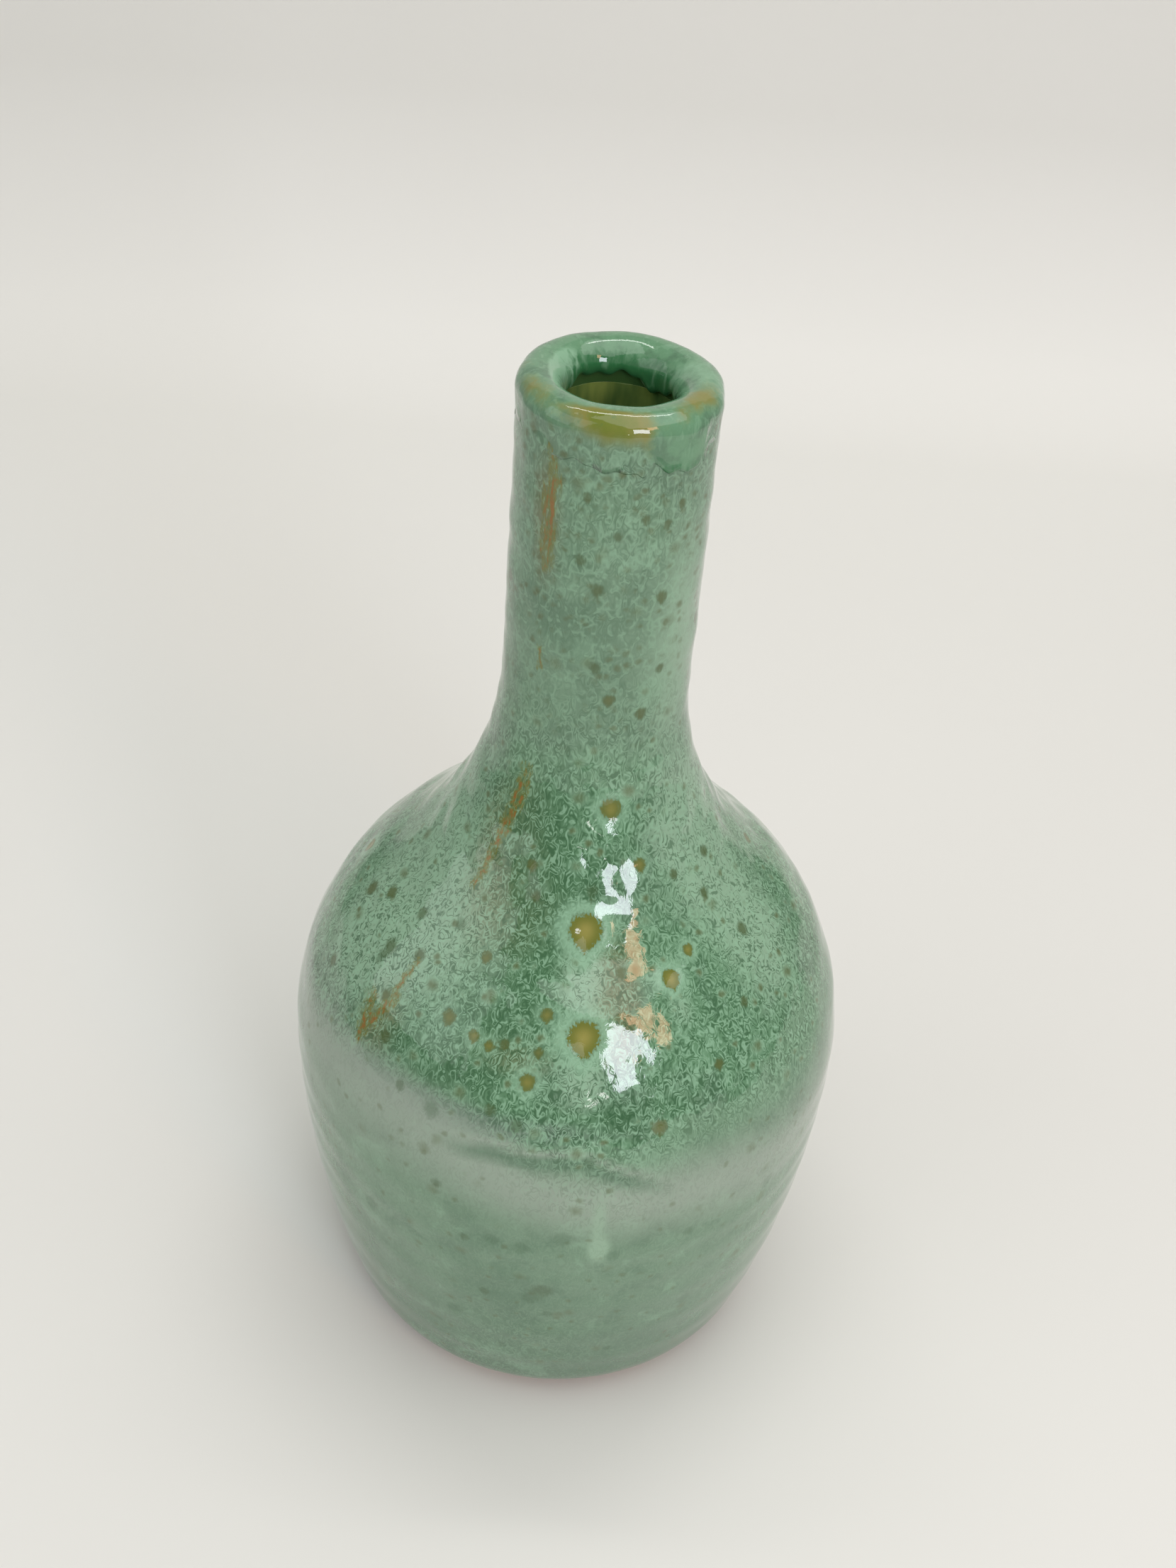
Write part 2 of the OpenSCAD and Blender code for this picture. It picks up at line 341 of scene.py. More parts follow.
def inside(shape):
    """Outline of the inside wall of the clay, from the bore down to the middle of the floor; its normal
    points into the hollow."""
    coats = shape.base_coat + shape.green_coat
    side = (shape.belly_radius - shape.side_radius, shape.belly_level)
    dome = (0, shape.belly_level)
    dome_radius = shape.belly_radius - coats - shape.wall
    side_radius = shape.side_radius - coats - shape.wall
    bore = shape.bore_radius + shape.liner_coat
    floor = corner_centre(side, side_radius, shape.floor_round, shape.floor_level)
    root = neck_centre(shape.belly_level, dome_radius, shape.inner_root, bore)
    turn, rise = heading(side, floor), heading(dome, root)
    top = shape.height - (shape.neck_radius + shape.lip_coat - shape.lip_round - bore + coats
                          + shape.lip_coat) - shape.throat_lap
    return walk([
        straight((bore, top), (bore, root[1]), (-1, 0)),
        arc(root, shape.inner_root, math.pi, math.pi + rise),
        arc(dome, dome_radius, rise, 0, side=-1),
        arc(side, side_radius, 0, turn, side=-1),
        arc(floor, shape.floor_round, turn, -math.pi / 2, side=-1),
        straight((floor[0], shape.floor_level), (0, shape.floor_level), (0, 1)),
    ])


# ---------------------------------------------------------------- surface


def smooth(low, high, value):
    """0 below low, 1 above high, and a cubic ease between."""
    t = np.clip((value - low) / (high - low), 0, 1)
    return t * t * (3 - 2 * t)


def ripple(points, wavelength, seed, waves=28):
    """Smooth noise with a spread of about 1: sine waves of one wavelength in random directions, added."""
    rng = np.random.default_rng(seed)
    ways = rng.normal(size=(waves, 3))
    ways /= np.linalg.norm(ways, axis=1, keepdims=True)
    phase = rng.uniform(0, 2 * math.pi, waves)
    return np.sin(points @ ways.T * (2 * math.pi / wavelength) + phase).sum(-1) * math.sqrt(2 / waves)


def swing(radius, z, turn):
    """Points at a radius and a height, swung round the axis from the front by a turn."""
    return np.stack([radius * np.sin(turn), -radius * np.cos(turn), z + 0 * turn], axis=-1)


def thrown(marks, z, turn):
    """Radial unevenness of the thrown wall: an oval whose long way turns with height, and throwing rings.
    It fades out below the heel, so that the bottle stands true."""
    oval = np.sin(2 * turn + 40 * z) + 0.5 * np.sin(3 * turn - 25 * z + 1)
    rings = np.sin(2 * math.pi * z / marks.ring_pitch + 0.6 * np.sin(turn) + 1.5 * np.sin(130 * z))
    return smooth(0, 12 * MM, z) * (marks.oval * oval + marks.ring_depth * rings)


def leaned(marks, points):
    """Moves every point towards +X by the lean times its height above the start of the lean."""
    points[..., 0] += math.tan(marks.lean) * np.maximum(points[..., 2] - marks.lean_from, 0)
    return points


def skin(marks, path, along, turn, depth):
    """Points of a coat: the outline at `along`, moved in by depth along its normal, swung by turn, with
    the wall's unevenness and lean."""
    radius, z, out, up = read(path, along)
    uneven = thrown(marks, z, turn)
    return leaned(marks, swing(radius - depth * out + uneven, z - depth * up, turn))


def turns(columns):
    """Even turns round the axis, as one row."""
    return np.linspace(-math.pi, math.pi, columns, endpoint=False)[None, :]


def put(name, points, poles=False, fields=None):
    """A grid of points as a closed mesh. Its columns join up round the axis. Its rows join up in a ring,
    or, with poles, the first and last row are each one point on the axis."""
    if not np.isfinite(points).all():
        raise ValueError(f"{name}: these sizes don't make an outline")
    rows, columns = points.shape[:2]
    i = np.arange(rows - 1 if poles else rows)[:, None]
    j = np.arange(columns)[None, :]
    up, on = (i + 1) % rows, (j + 1) % columns
    quads = np.stack([i * columns + j, i * columns + on, up * columns + on, up * columns + j], axis=-1)
    mesh = bpy.data.meshes.new(name)
    mesh.from_pydata(points.reshape(-1, 3).tolist(), [], quads.reshape(-1, 4).tolist())
    for field, values in (fields or {}).items():
        kind, entry = ("FLOAT", "value") if values.ndim == 2 else ("FLOAT_VECTOR", "vector")
        mesh.attributes.new(field, kind, "POINT").data.foreach_set(entry, values.astype(np.float32).ravel())
    if poles:
        weld(mesh)
    mesh.shade_smooth()
    piece = bpy.data.objects.new(name, mesh)
    bpy.context.scene.collection.objects.link(piece)
    return piece


def weld(mesh):
    """Merges the points that share a place, which closes the poles, and drops faces without area."""
    work = bmesh.new()
    work.from_mesh(mesh)
    bmesh.ops.remove_doubles(work, verts=work.verts, dist=1e-7)
    bmesh.ops.dissolve_degenerate(work, edges=work.edges, dist=1e-8)
    work.to_mesh(mesh)
    work.free()


def settings(context):
    """The sizes, the marks and the look that a piece is made from."""
    scene = context.scene
    return scene.bottle_shape, scene.bottle_marks, scene.bottle_look


def place(piece, node, material):
    """Finishes a piece: its material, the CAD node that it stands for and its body."""
    piece.data.materials.append(material)
    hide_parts(node)
    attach(piece, "root")


def even(start, end, rows):
    """Distances from start to end, each a number or one value for each turn, in even steps."""
    t = np.linspace(0, 1, rows)[:, None]
    return start + t * (end - start)


def crisp_start(along):
    """The same distances with one more row close to the first, which keeps the shading of a corner there."""
    return np.concatenate([along[:1], along[:1] + SUPPORT, along[1:]])


def bubbles(path, along, turn):
    """Offset from the nearest burst bubble, across and up, in its own radii, and that bubble's radius and
    clearness. Below its middle a bubble is drawn out, because the glaze ran down."""
    radius = read(path, along)[0]
    flat = np.broadcast(along, turn).shape
    offset, size, clear = np.full((*flat, 2), FAR), np.full(flat, MM), np.zeros(flat)
    nearest = np.full(flat, FAR)
    for degrees, level, reach, clearness in BUBBLES:
        reach = reach * MM
        across = radius * (turn - math.radians(degrees))
        above = along - climb(path, level * MM)
        tail = 1 + 0.35 * np.exp(-(across / (0.5 * reach)) ** 2)
        above = np.where(above < 0, above / tail, above)
        apart = np.hypot(across, above) / reach
        closer = (apart < nearest) & (along < path.crest)
        offset = np.where(closer[..., None], np.stack([across, above], axis=-1) / reach, offset)
        size, clear = np.where(closer, reach, size), np.where(closer, clearness, clear)
        nearest = np.where(closer, apart, nearest)
    return offset, size, clear


def rust_streaks(path, along, turn):
    """Nearness to a streak of rust: 1 on its line, and 0 at its half width and beyond."""
    radius = read(path, along)[0]
    found = np.zeros(np.broadcast(along, turn).shape)
    for turn_a, level_a, turn_b, level_b, half in RUST:
        ends = climb(path, [level_a * MM, level_b * MM])
        x = radius * (turn - math.radians(turn_a))
        y = along - ends[0]
        run_x, run_y = radius * math.radians(turn_b - turn_a), ends[1] - ends[0]
        t = np.clip((x * run_x + y * run_y) / (run_x ** 2 + run_y ** 2), 0, 1)
        apart = np.hypot(x - t * run_x, y - t * run_y)
        found = np.maximum(found, 1 - np.clip(apart / (half * MM), 0, 1))
    return found


def overlap(turn, z):
    """Slanted line where two dips into the green overlap, low on the front: how much of it there is at a
    turn, and how far a height is below it in millimetres."""
    degrees = np.degrees(turn)
    front = smooth(-26, -14, degrees) * (1 - smooth(12, 26, degrees))
    return front, 67.8 - 8 * smooth(2, 32, degrees) + 0.3 * np.sin(0.4 * degrees) - z / MM


def green_relief(marks, path, along, turn, points):
    """Height of the green coat's surface over its mean: slow waves, dips with a raised rim at the burst
    bubbles, and the slanted overlap of two dips of the bottle into the glaze, low on the front."""
    z = read(path, along)[1]
    offset, size, clear = bubbles(path, along, turn)
    apart, share = np.hypot(offset[..., 0], offset[..., 1]), size * (0.2 + 0.8 * clear) / (2 * MM)
    dip = -marks.bubble_depth * share * (1 - smooth(0.1, 1.2, apart))
    rim = 0.4 * marks.bubble_depth * share * np.exp(-((apart - 1.45) / 0.35) ** 2)
    waves = marks.relief * (ripple(points, 9 * MM, 3) + 0.5 * ripple(points, 4.2 * MM, 4))
    waves *= 0.25 + 0.75 * smooth(58 * MM, 76 * MM, z)
    waves += 0.07 * MM * ripple(points, 4.5 * MM, 5) * np.exp(-((z - 99 * MM) / (7 * MM)) ** 2)
    front, below = overlap(turn, z)
    lap = -0.2 * MM * front * smooth(-0.7, 1.3, below) * (1 - smooth(1.2, 6.6, below))
    return dip + rim + waves + lap


# ---------------------------------------------------------------- materials


def add(tree, kind, inputs=None, out=0, **settings):
    """Adds one shader node. settings are its own choices, inputs its sockets by name or number, each a
    value or the socket it is fed from. Returns its output socket."""
    made = tree.nodes.new("ShaderNode" + kind)
    for name, value in settings.items():
        setattr(made, name, value)
    for socket, value in (inputs or {}).items():
        if isinstance(value, bpy.types.NodeSocket):
            tree.links.new(value, made.inputs[socket])
        else:
            made.inputs[socket].default_value = value
    return made.outputs[out]


def opaque(rgb):
    """A colour socket's four numbers."""
    return (*rgb, 1)


def new_material(name):
    """An empty node material, with the node-adding function and the object's own coordinates."""
    material = bpy.data.materials.new(name)
    material.use_nodes = True
    material.node_tree.nodes.clear()
    paint = partial(add, material.node_tree)
    return material, paint, paint("TexCoord", out="Object")


def product(paint, *factors):
    """The product of factors, each a number, a socket or a ramp. A ramp is a socket with the value where it
    is 0, the value where it is full, and how much full is, if not 1; it eases in and out."""
    found = None
    for factor in factors:
        if isinstance(factor, tuple):
            value, low, high, *most = factor
            ends = {"From Min": low, "From Max": high, "To Max": most[0] if most else 1.0}
            factor = paint("MapRange", {"Value": value, **ends}, interpolation_type="SMOOTHSTEP")
        found = factor if found is None else paint("Math", {0: found, 1: factor}, operation="MULTIPLY")
    return found


def layered(paint, ground, layers):
    """Lays colours over a ground, which is a colour or a socket. A layer is its colour and the factors of
    which the mask that it is laid through is the product."""
    if not isinstance(ground, bpy.types.NodeSocket):
        ground = opaque(ground)
    for over, *factors in layers:
        sockets = {0: product(paint, *factors), 6: ground, 7: opaque(over)}
        ground = paint("Mix", sockets, out=2, data_type="RGBA")
    return ground


def finish(material, paint, shade, height, relief, **shader):
    """Closes a material: bump of a real height if it has one, the shader's plain values, and the output."""
    values = {name.replace("_", " "): value for name, value in shader.items()}
    if relief:
        values["Normal"] = paint("Bump", {"Height": height, "Distance": relief})
    surface = paint("BsdfPrincipled", {"Base Color": shade, **values})
    end = material.node_tree.nodes.new("ShaderNodeOutputMaterial")
    material.node_tree.links.new(surface, end.inputs["Surface"])
    return material


def stoneware(look):
    """Fired stoneware, thrown and trimmed: dry and granular, toasted where the fire caught it, with
    grains that stand a little proud."""
    material, paint, at = new_material("stoneware")
    toast = paint("TexNoise", {"Vector": at, "Scale": 1 / look.drift, "Detail": 4.0}, out="Fac")
    grain = paint("TexNoise", {"Vector": at, "Scale": 1 / look.grit, "Detail": 3.0}, out="Fac")
    toasted = paint("MapRange", {"Value": toast, "From Min": 0.4, "From Max": 0.65})
    iron = paint("MapRange", {"Value": grain, "From Min": 0.64, "From Max": 0.72})
    shade = layered(paint, look.clay, [(look.clay_dark, toasted), (look.rust, iron)])
    return finish(material, paint, shade, grain, 0.05 * MM, Roughness=0.85, IOR=1.5)


def amber_glaze(look):
    """Amber iron glaze, poured thin straight on the clay: clear and glossy, olive where it is thick, and
    given the liner's dark colour high in the throat as painted shade."""
    material, paint, at = new_material("amber_glaze")
    level = paint("SeparateXYZ", {"Vector": at}, out="Z")
    pool = paint("TexNoise", {"Vector": at, "Scale": 1 / (4 * MM), "Detail": 3.0}, out="Fac")
    thin = paint("MapRange", {"Value": pool, "From Min": 0.45, "From Max": 0.7})
    # Painted shade: high in the throat, above about 0.13 m, the amber takes the liner's dark colour
    shade = layered(paint, look.olive, [(look.ochre, thin), (look.liner_dark, (level, 0.12, 0.14))])
    return finish(material, paint, shade, pool, 0.05 * MM, Roughness=0.12, IOR=1.5)


def liner(look):
    """The same glaze poured inside and out again: dark olive with paler runs down the wall."""
    material, paint, at = new_material("liner_glaze")
    long = paint("Mapping", {"Vector": at, "Scale": (1.0, 1.0, 0.25)})
    runs = paint("TexNoise", {"Vector": long, "Scale": 1 / (3.5 * MM), "Detail": 3.0}, out="Fac")
    paler = paint("MapRange", {"Value": runs, "From Min": 0.38, "From Max": 0.68})
    shade = layered(paint, look.liner_dark, [(look.liner, paler)])
    return finish(material, paint, shade, runs, 0.08 * MM, Roughness=0.1, IOR=1.5)


def green_coat(look, paint, at):
    """Colour of the green coat where nothing interrupts it, and its height, soft bumps with faint strokes.
    It is crystalline: short curly strokes of pale crystal and dark glass, pale scales with soft dark middles
    on the neck, and washes of tone; some of these washes and bands are painted light: sheen, a highlight,
    reflections of the floor and the room, and shade under the slanted lap. The green glaze and the mouth
    glaze over it start here."""
    rich, neck, thin, low, painted_lap_shade, painted_lap_sheen = (
        paint("Attribute", out="Fac", attribute_name=name)
        for name in ("rich", "neck", "thin", "low", "painted_lap_shade", "painted_lap_sheen"))
    drift = paint("TexNoise", {"Vector": at, "Scale": 1 / look.drift, "Detail": 3.0,
                               "Roughness": 0.6}, out="Fac")
    cloud = paint("TexNoise", {"Vector": at, "Scale": 2.5 / look.drift, "Detail": 4.0,
                               "Roughness": 0.65, "Distortion": 0.5}, out="Fac")
    # Curly strokes, longer downhill: contour lines of a twisted noise, pale on one side, dark on the other
    drawn = paint("Mapping", {"Vector": at, "Scale": (1.0, 1.0, 0.55)})
    field = paint("TexNoise", {"Vector": drawn, "Scale": 0.5 / look.curl, "Detail": 1.0,
                               "Roughness": 0.6, "Distortion": 0.9}, out="Fac")
    wave = paint("Math", {0: product(paint, field, 26.0)}, operation="SINE")
    patch = paint("TexNoise", {"Vector": drawn, "Scale": 0.45 / look.curl, "Detail": 2.0,
                               "Roughness": 0.7}, out="Fac")
    broken = product(paint, wave, patch)
    much = paint("MapRange", {"Value": rich, "To Min": 0.12, "To Max": 0.85})
    # Scales on the neck: the net of a cell pattern, bent by noise and broken up
    bend = paint("TexNoise", {"Vector": at, "Scale": 1 / (1.6 * MM), "Detail": 2.0}, out="Color")
    bent = paint("VectorMath", {0: bend, 1: (1.1 * MM,) * 3, 2: at}, operation="MULTIPLY_ADD")
    cell = {"Vector": bent, "Scale": 1 / look.net}
    edge = paint("TexVoronoi", cell, out="Distance", feature="DISTANCE_TO_EDGE")
    middle = paint("TexVoronoi", cell, out="Distance")
    # Boil marks and pits: a spot where the surface passes near a cell's middle, in a pale ring
    boil = paint("TexVoronoi", {"Vector": bent, "Scale": 1 / look.boils}, out="Distance")
    pit = paint("TexVoronoi", {"Vector": bent, "Scale": 1 / look.pits}, out="Distance")
    crisp = paint("MapRange", {"Value": rich, "To Min": 0.4, "To Max": 0.75})
    # Washes of tone, some of them painted sheen and reflection, broken up into clouds
    broken_up = paint("Math", {0: cloud, 1: 0.9, 2: 0.5}, operation="MULTIPLY_ADD")
    wash = {name: product(paint, paint("Attribute", out="Fac", attribute_name=name), broken_up)
            for name in WASHES}
    shade = layered(paint, look.grey_green, [
        (look.green, rich, (drift, 0.34, 0.56)),
        (look.shade, low, 0.8),
        (look.shade, (drift, 0.5, 0.32, 0.5)),
        (look.shade, (cloud, 0.5, 0.72, 0.6)),
        (look.mint, (cloud, 0.47, 0.3, 0.3)),
        # Painted reflection of the dim room beyond the sheet: a grey band near 70 mm
        (look.painted_dim_reflection, (wash["painted_dim_reflection"], 0.1, 0.8, 0.8)),
        # Painted reflection of the bright floor: a pale band over the widest part, slanting round the bottle
        (look.painted_reflection_grey, thin, 0.7),
        # Painted highlight along the slanted lap, and painted shade in the dip just below it
        (look.painted_reflection_grey, painted_lap_sheen, 0.6),
        (look.shade, painted_lap_shade, 0.75),
        (look.brown, (wash["brown"], 0.1, 0.8, 0.8)),
        (look.glass, (wash["dark"], 0.1, 0.8, 0.75)),
        # Pale washes: milky veils and halos, and painted sheen and highlight on the sides and low on the
        # front
        (look.veil_and_sheen, (wash["pale"], 0.1, 0.9, 0.75)),
        (look.deep_green, (broken, -0.16, -0.52), much, 0.85),
        (look.mint, (broken, 0.16, 0.55), much, 0.85),
        (look.mint, (edge, 0.17, 0.0), (field, 0.45, 0.6, 0.4), neck),
        (look.pit, (middle, 0.45, 0.1), (cloud, 0.42, 0.6, 0.7), neck),
        (look.mint, (boil, 0.3, 0.15), 0.4, rich),
        (look.pit, (boil, 0.22, 0.03), crisp),
        (look.mint, (pit, 0.34, 0.18), 0.35, rich),
        (look.pit, (pit, 0.24, 0.06), crisp),
    ])
    swell = paint("TexNoise", {"Vector": at, "Scale": 1 / look.swell, "Detail": 1.0}, out="Fac")
    bumpy = paint("MapRange", {"Value": rich, "To Min": 0.2})
    height = paint("Math", {0: broken, 1: 0.03, 2: swell}, operation="MULTIPLY_ADD")
    return shade, product(paint, height, bumpy)


def green_glaze(look):
    """Crystalline green over amber, dipped, and fired until it crawled and boiled: glossy, with olive
    pools where a bubble burst down to the amber, pale halos round them, and streaks of rust."""
    material, paint, at = new_material("green_glaze")
    coat, height = green_coat(look, paint, at)
    downhill = paint("Mapping", {"Vector": at, "Scale": (1.0, 1.0, 0.3)})
    # Burst bubbles: how far off the middle is, in radii, made ragged by noise that runs downhill
    offset = paint("Attribute", out="Vector", attribute_name="offset")
    far = product(paint, paint("Attribute", out="Fac", attribute_name="apart"), 0.85)
    apart = paint("Math", {0: paint("VectorMath", {0: offset}, out="Value", operation="LENGTH"), 1: far},
                  operation="MAXIMUM")
    runs = paint("TexNoise", {"Vector": downhill, "Scale": 1 / (0.32 * MM), "Detail": 1.0}, out="Fac")
    ragged = paint("Math", {0: runs, 1: 0.8, 2: apart}, operation="MULTIPLY_ADD")
    clear = paint("Attribute", out="Fac", attribute_name="clear")
    pool = product(paint, (ragged, 1.46, 1.32), (clear, 0.25, 1.0))
    mark = paint("MapRange", {"Value": clear, "From Min": 0.1, "From Max": 0.4,
                              "To Min": 0.3, "To Max": 0.72})
    soft = product(paint, (ragged, 1.8, 0.9))
    # Rust: noise streaks that run downhill and show most near the middle of a stain
    bled = paint("Attribute", out="Fac", attribute_name="rust")
    streak = paint("TexNoise", {"Vector": downhill, "Scale": 1 / (0.6 * MM), "Detail": 3.0,
                                "Roughness": 0.7}, out="Fac")
    stain = paint("Math", {0: streak, 1: 3.0, 2: bled}, operation="MULTIPLY_ADD")
    shade = layered(paint, coat, [
        (look.mint, (ragged, 3.0, 1.6, 0.8), (clear, 0.3, 0.9)),
        (look.deep_green, soft, mark),
        (look.pit, soft, mark, (clear, 0.1, 0.3)),
        (look.olive, pool),
        (look.ochre, pool, (apart, 0.9, 0.0, 0.8)),
        (look.olive, (stain, 1.75, 2.4, 0.7), (bled, 0.0, 0.3)),
        (look.rust, (stain, 2.3, 2.75, 0.8), (bled, 0.0, 0.3)),
    ])
    return finish(material, paint, shade, height, look.swell_height, Roughness=0.05, IOR=1.6)


def mouth_glaze(look):
    """A second dip over the mouth: thick, clear green glass, milky in clouds, amber where it is thin over
    the crest and the front, and hanging in the throat in deep emerald streaks; at its thin edge it fades
    into the green coat."""
    material, paint, at = new_material("mouth_glaze")
    amber, milky, pooled, full = (paint("Attribute", out="Fac", attribute_name=name)
                                  for name in ("amber", "milky", "pooled", "full"))
    coat, _ = green_coat(look, paint, at)
    downhill = paint("Mapping", {"Vector": at, "Scale": (1.0, 1.0, 0.35)})
    cloud = paint("TexNoise", {"Vector": at, "Scale": 1 / (3.5 * MM), "Detail": 4.0, "Roughness": 0.6},
                  out="Fac")
    fine = paint("TexNoise", {"Vector": downhill, "Scale": 1 / (0.9 * MM), "Detail": 3.0,
                              "Distortion": 0.6}, out="Fac")
    body = product(paint, (full, 0.1, 0.8, 0.9))
    deep = paint("Math", {0: fine, 1: 1.8, 2: pooled}, operation="MULTIPLY_ADD")
    gold = paint("Math", {0: cloud, 1: 1.0, 2: amber}, operation="MULTIPLY_ADD")
    milk = paint("Math", {0: cloud, 1: 1.2, 2: milky}, operation="MULTIPLY_ADD")
    shade = layered(paint, coat, [
        (look.lip_mint, body),
        (look.shade, (cloud, 0.5, 0.32, 0.8), body),
        (look.mint, (milk, 0.75, 1.3, 0.9), body),
        (look.mint, (fine, 0.52, 0.72, 0.45), body),
        (look.lip_amber, (gold, 0.75, 1.25, 0.92), body),
        (look.lip_olive, (gold, 1.2, 1.55, 0.85), body),
        (look.emerald, (deep, 1.1, 1.75, 0.95)),
    ])
    return finish(material, paint, shade, cloud, 0.05 * MM, Roughness=0.03, IOR=1.6)


# ---------------------------------------------------------------- pieces


def underside(shape, ring_out, coats):
    """Radius and height, as columns, of the underside: the hollow, and the foot ring with rounded edges out
    to ring_out, up to the heel under the coats."""
    ring_in = ring_out - shape.foot_width
    edge = shape.foot_edge
    under = walk([
        straight((0, shape.foot_recess), (ring_in - edge, shape.foot_recess), (0, -1), steps=120),
        arc((ring_in - edge, shape.foot_recess - edge), edge, math.pi / 2, 0, side=-1, steps=12),
        arc((ring_in + edge, edge), edge, math.pi, 1.5 * math.pi, steps=12),
        arc((ring_out - edge, edge), edge, -math.pi / 2, 0, steps=12),
        straight((ring_out, edge), (ring_out, shape.foot_height + coats), (1, 0), steps=6),
    ])
    return under.rows[:, :1], under.rows[:, 1:2]


class ThrowBelly(bpy.types.Operator):
    """Belly of thrown clay: the outline under the coats up to the joint, the inside wall back down to
    the floor, and the foot ring with trimming rings under it, swung round the axis."""

    bl_idname = "bottle.throw_belly"
    bl_label = "Belly"

    def execute(self, context):
        shape, marks, look = settings(context)
        out, hollow = outside(shape), inside(shape)
        coats = shape.base_coat + shape.green_coat
        turn = turns(288)
        joint = climb(out, shape.joint_level)
        wall = skin(marks, out, even(0.0, joint, 120), turn, coats)
        falling = hollow.rows[:, 1] > shape.joint_level
        down = skin(marks, hollow, even(hollow.along[falling][-1], hollow.along[-1], 70), turn, 0.0)
        radius, z = underside(shape, out.heel[0] - shape.foot_step, coats)
        cut = 0.06 * MM * np.sin(2 * math.pi * radius / marks.trim_pitch + turn) * smooth(0, 3 * MM, radius)
        flat = smooth(shape.foot_recess * 0.9, shape.foot_recess, z)
        base = swing(radius + 0 * turn, z + cut * flat, turn)
        base[0, :, 2] = shape.foot_recess
        points = np.concatenate([base, wall, down])
        piece = put("belly_clay", points, poles=True)
        place(piece, "belly", stoneware(look))
        return {"FINISHED"}


class LuteNeck(bpy.types.Operator):
    """Neck of thrown clay from the joint up: the outline under the coats over the mouth, and the bore
    back down, as one ring of rows."""

    bl_idname = "bottle.lute_neck"
    bl_label = "Neck"

    def execute(self, context):
        shape, marks, look = settings(context)
        out, hollow = outside(shape), inside(shape)
        turn = turns(160)
        joint = climb(out, shape.joint_level)
        rising = skin(marks, out, even(joint, out.throat, 120), turn,
                      shape.base_coat + shape.green_coat)
        above = hollow.rows[:, 1] > shape.joint_level
        falling = skin(marks, hollow, even(0.2 * MM, hollow.along[above][-1], 60), turn, 0.0)
        piece = put("neck_clay", np.concatenate([rising, falling]))
        place(piece, "neck", bpy.data.materials.get("stoneware") or stoneware(look))
        return {"FINISHED"}


class PourLiner(bpy.types.Operator):
    """Liner glaze: the inside wall moved in by the coat's thickness, and the wall itself, joined at the
    top and closed on the axis at the floor."""

    bl_idname = "bottle.pour_liner"
    bl_label = "Liner glaze"

    def execute(self, context):
        shape, marks, look = settings(context)
        hollow = inside(shape)
        turn = turns(192)
        down = crisp_start(even(0.0, hollow.along[-1], 150))
        face = skin(marks, hollow, down, turn, -shape.liner_coat)
        back = skin(marks, hollow, down[::-1], turn, 0.0)
        runs = 0.12 * MM * np.maximum(ripple(face * (1, 1, 0.2), 5 * MM, 11), 0)
        middle = smooth(0, 6 * MM, np.hypot(face[..., 0], face[..., 1]))[..., None]
        inward = -face * (1, 1, 0) / np.maximum(np.hypot(face[..., 0], face[..., 1]), MM)[..., None]
        face += (runs[..., None] * middle) * inward
        points = np.concatenate([back, face])
        piece = put("liner_glaze_coat", points, poles=True)
        place(piece, "liner_glaze", liner(look))
        return {"FINISHED"}


def coat_rows(start, end, rows):
    """Distances for a coat, closer together over the mouth than on the body."""
    t = np.linspace(0, 1, rows)
    spread = np.interp(t, [0, 0.82, 1], [0, 0.955, 1])[:, None]
    along = start + spread * (end - start)
    return np.concatenate([along[:-1], along[-1:] - SUPPORT, along[-1:]])


def shell(name, marks, path, along, turn, face_depth, back_depth, fields=None, shift=0.0):
    """A coat as a closed shell: its face at one depth, and its back at another, with few rows, because
    the back lies on the coat below. shift moves the face out along the outline's normal."""
    face = skin(marks, path, along, turn, face_depth - shift)
    back = skin(marks, path, along[::-6], turn, back_depth)
    both = {}
    for field, values in (fields or {}).items():
        values = np.broadcast_to(values, face.shape[:2] + values.shape[2:])
        both[field] = np.concatenate([values, values[::-6]])
    return put(name, np.concatenate([face, back]), fields=both)


def zones(points):
    """Where the green coat is rich, where it covers the neck, where the bright floor is reflected in a
    slanted band over the widest part, as painted reflection, and where it is low on the body, each a function
    of height with an edge that wanders; the painted shade below the slanted lap and the painted pale line
    along it; and the washes, each a sum of bells, some of them painted light."""
    x, y, z = np.moveaxis(points, -1, 0)
    drift = 0.18 * ripple(points, 40 * MM, 21)
    turn = np.arctan2(x, -y)
    level = z / MM + 9 * drift
    slant = level + 5.5 * np.sin(turn)
    front, below = overlap(turn, z)
    found = {
        "rich": np.clip(smooth(66, 76, level) * (1 - 0.2 * smooth(84, 100, level)
                                                 - 0.65 * smooth(108, 132, level)) + drift, 0, 1),
        "neck": smooth(110, 136, level),
        # Painted reflection of the bright floor: a pale band over the widest part
        "thin": smooth(50, 62, slant) * (1 - smooth(63, 72, slant)),
        "low": 1 - smooth(6, 50, level),
        # Painted shade in the dip just below the slanted lap, and a painted pale line along it
        "painted_lap_shade": front * smooth(-0.2, 0.7, below) * (1 - smooth(1.6, 3.2, below)),
        "painted_lap_sheen": front * np.exp(-((below + 0.5) / 0.7) ** 2),
    }
    for name, places in WASHES.items():
        found[name] = np.zeros(z.shape)
        for degrees, height, wide, tall, strength in places:
            apart = (turn - math.radians(degrees) + math.pi) % (2 * math.pi) - math.pi
            across = np.hypot(x, y) * apart / (wide * MM)
            up = (z / MM - height) / tall
            found[name] += strength * np.exp(-across ** 2 - up ** 2)
    return found


def bead(distance, width, thickness):
    """Thickness of a coat near its edge: a quarter of an ellipse that reaches full thickness at width."""
    t = np.clip(distance / width, 0, 1)
    return thickness * np.sqrt(1 - (1 - t) ** 2)


